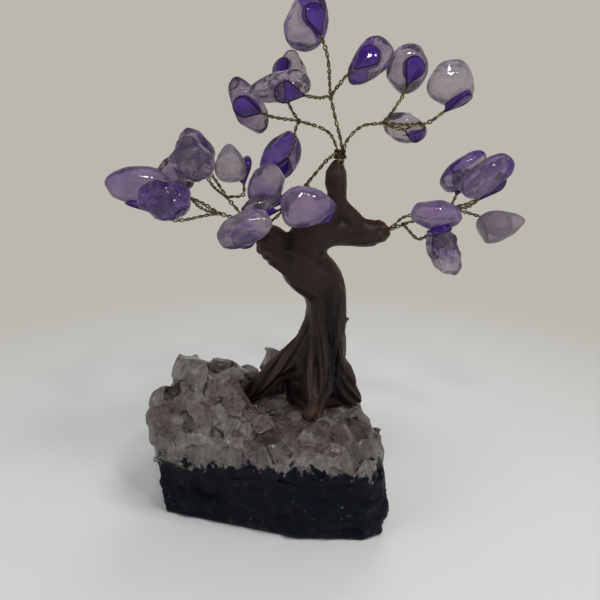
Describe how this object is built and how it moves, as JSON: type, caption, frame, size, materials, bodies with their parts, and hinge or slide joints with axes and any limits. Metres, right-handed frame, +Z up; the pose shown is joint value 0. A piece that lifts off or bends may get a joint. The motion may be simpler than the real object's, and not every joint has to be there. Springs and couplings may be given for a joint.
{
  "type": "gemstone tree ornament",
  "caption": "Small ornamental tree: a painted quartz druse carries a moulded trunk whose twisted wire branches end in tumbled amethyst stones.",
  "frame": {"origin": "middle of the flat underside of the rock, on the surface it stands on", "axes": "+Z up; +X across the crown to the right as seen from the front; -Y is the front"},
  "size_m": [0.1183, 0.0531, 0.1486],
  "materials": {
    "painted_rock": "matt dark navy paint on rough rock",
    "quartz": "worn, cloudy grey-mauve quartz crystals",
    "trunk": "dark brown moulded bark, slightly glossy",
    "bronze_wire": "dull bronze craft wire",
    "dark_wire": "darkened wire binding",
    "dyed_glue": "glossy purple-dyed glue",
    "amethyst": "polished amethyst with cloudy zones",
    "pale_amethyst": "polished pale amethyst, nearly clear"
  },
  "bodies": {
    "root": {"base_rock": "painted_rock", "crystal_druse": "quartz", "trunk": "trunk", "top_binding": "dark_wire", "branch_wire_left_low": "bronze_wire", "glue_pads_left_low": "dyed_glue", "gem_left_1": "pale_amethyst", "gem_left_2": "pale_amethyst", "gem_left_3": "amethyst", "branch_wire_left_high": "bronze_wire", "glue_pads_left_high": "dyed_glue", "gem_left_4": "amethyst", "gem_left_5": "pale_amethyst", "gem_left_6": "pale_amethyst", "branch_wire_front": "bronze_wire", "glue_pads_front": "dyed_glue", "gem_front_1": "amethyst", "gem_front_2": "amethyst", "gem_front_3": "amethyst", "gem_front_4": "amethyst", "branch_wire_upper_left": "bronze_wire", "glue_pads_upper_left": "dyed_glue", "gem_upper_1": "amethyst", "gem_upper_2": "pale_amethyst", "gem_upper_3": "amethyst", "branch_wire_top": "bronze_wire", "glue_pads_top": "dyed_glue", "gem_upper_4": "pale_amethyst", "gem_top_1": "amethyst", "gem_upper_5": "amethyst", "branch_wire_upper_right": "bronze_wire", "glue_pads_upper_right": "dyed_glue", "gem_upper_6": "pale_amethyst", "gem_upper_7": "pale_amethyst", "gem_upper_8": "pale_amethyst", "branch_wire_right_high": "bronze_wire", "glue_pads_right_high": "dyed_glue", "gem_right_3": "pale_amethyst", "gem_right_4": "amethyst", "gem_right_5": "amethyst", "gem_right_6": "amethyst", "branch_wire_right_low": "bronze_wire", "glue_pads_right_low": "dyed_glue", "gem_right_1": "amethyst", "gem_right_2": "amethyst"}
  },
  "joints": []
}
